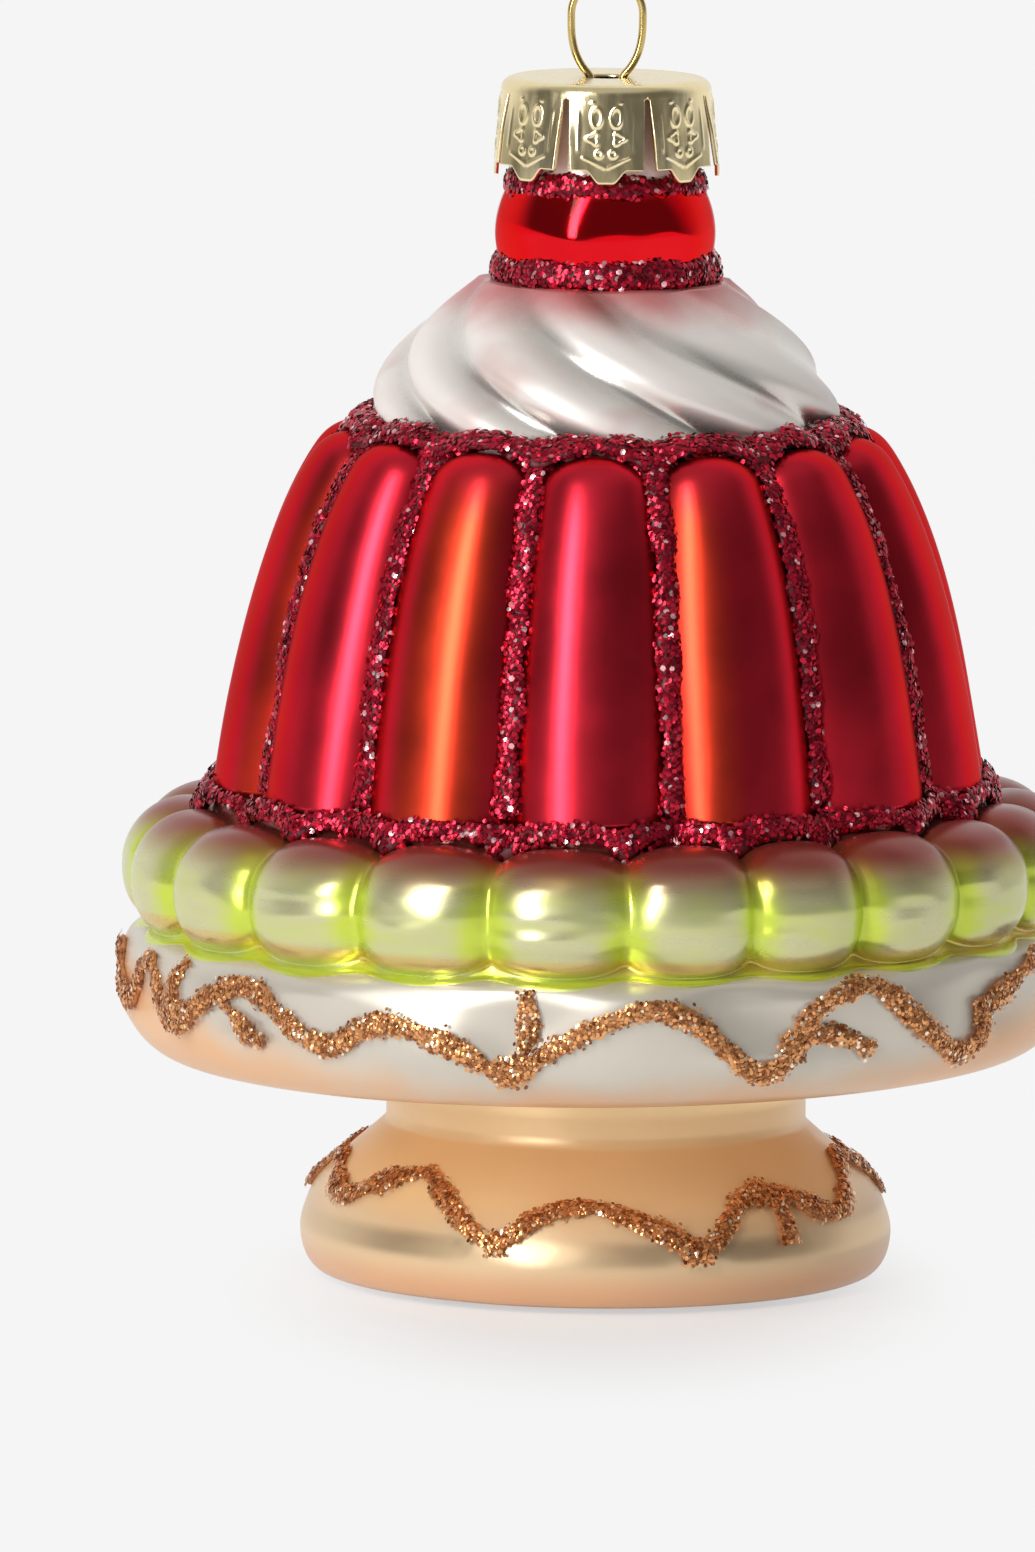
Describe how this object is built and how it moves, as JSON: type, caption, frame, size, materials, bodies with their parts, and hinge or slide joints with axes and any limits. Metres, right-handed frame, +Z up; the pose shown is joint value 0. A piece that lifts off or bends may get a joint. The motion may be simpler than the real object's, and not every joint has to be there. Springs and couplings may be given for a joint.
{
  "type": "christmas pudding ornament",
  "caption": "Silvered glass tree ornament moulded as a fluted jelly pudding with cream and a cherry on a cake stand, with a stamped crown cap and a wire hanging loop.",
  "frame": {"origin": "on the ground, under the middle of the foot", "axes": "+Z up along the ornament's axis, -Y towards the viewer of the picture, +X to that viewer's right"},
  "size_m": [0.0778, 0.0778, 0.1043],
  "materials": {
    "silvered_glass": "blown glass silvered on its inside, gloss",
    "peach_lacquer": "translucent pearl and peach lacquer over silvering",
    "green_lacquer": "translucent lime lacquer over silvering",
    "red_lacquer": "translucent red lacquer over silvering, satin",
    "pearl_lacquer": "pearl white lacquer, satin",
    "cherry_red_lacquer": "translucent red lacquer over silvering, gloss",
    "red_glitter": "film glitter in clear glue",
    "copper_glitter": "film glitter in clear glue",
    "gold_tinplate": "stamped thin sheet with a pale gold finish",
    "brass_wire": "drawn wire, gloss"
  },
  "bodies": {
    "glass": {"glass_body": "silvered_glass", "stand_lacquer": "peach_lacquer", "berry_lacquer": "green_lacquer", "jelly_lacquer": "red_lacquer", "cream_lacquer": "pearl_lacquer", "cherry_lacquer": "cherry_red_lacquer", "collar_glitter": "red_glitter", "cherry_glitter": "red_glitter", "cream_glitter": "red_glitter", "jelly_glitter": "red_glitter", "plate_scroll": "copper_glitter", "foot_scroll": "copper_glitter", "groove_glitter_1": "red_glitter", "groove_glitter_2": "red_glitter", "groove_glitter_3": "red_glitter", "groove_glitter_4": "red_glitter", "groove_glitter_5": "red_glitter", "groove_glitter_6": "red_glitter", "groove_glitter_7": "red_glitter", "groove_glitter_8": "red_glitter", "groove_glitter_9": "red_glitter", "groove_glitter_10": "red_glitter", "groove_glitter_11": "red_glitter", "groove_glitter_12": "red_glitter", "groove_glitter_13": "red_glitter", "groove_glitter_14": "red_glitter"},
    "cap": {"cap": "gold_tinplate"},
    "hanger": {"hanger_wire": "brass_wire"}
  },
  "joints": [
    {"name": "cap_pull", "type": "slide", "parent": "glass", "child": "cap", "axis": [0, 0, 1], "range_m": [0, 0.014]},
    {"name": "hanger_swivel", "type": "hinge", "parent": "cap", "child": "hanger", "pos_m": [0, 0, 0.096], "axis": [0, 0, 1], "continuous": true}
  ]
}
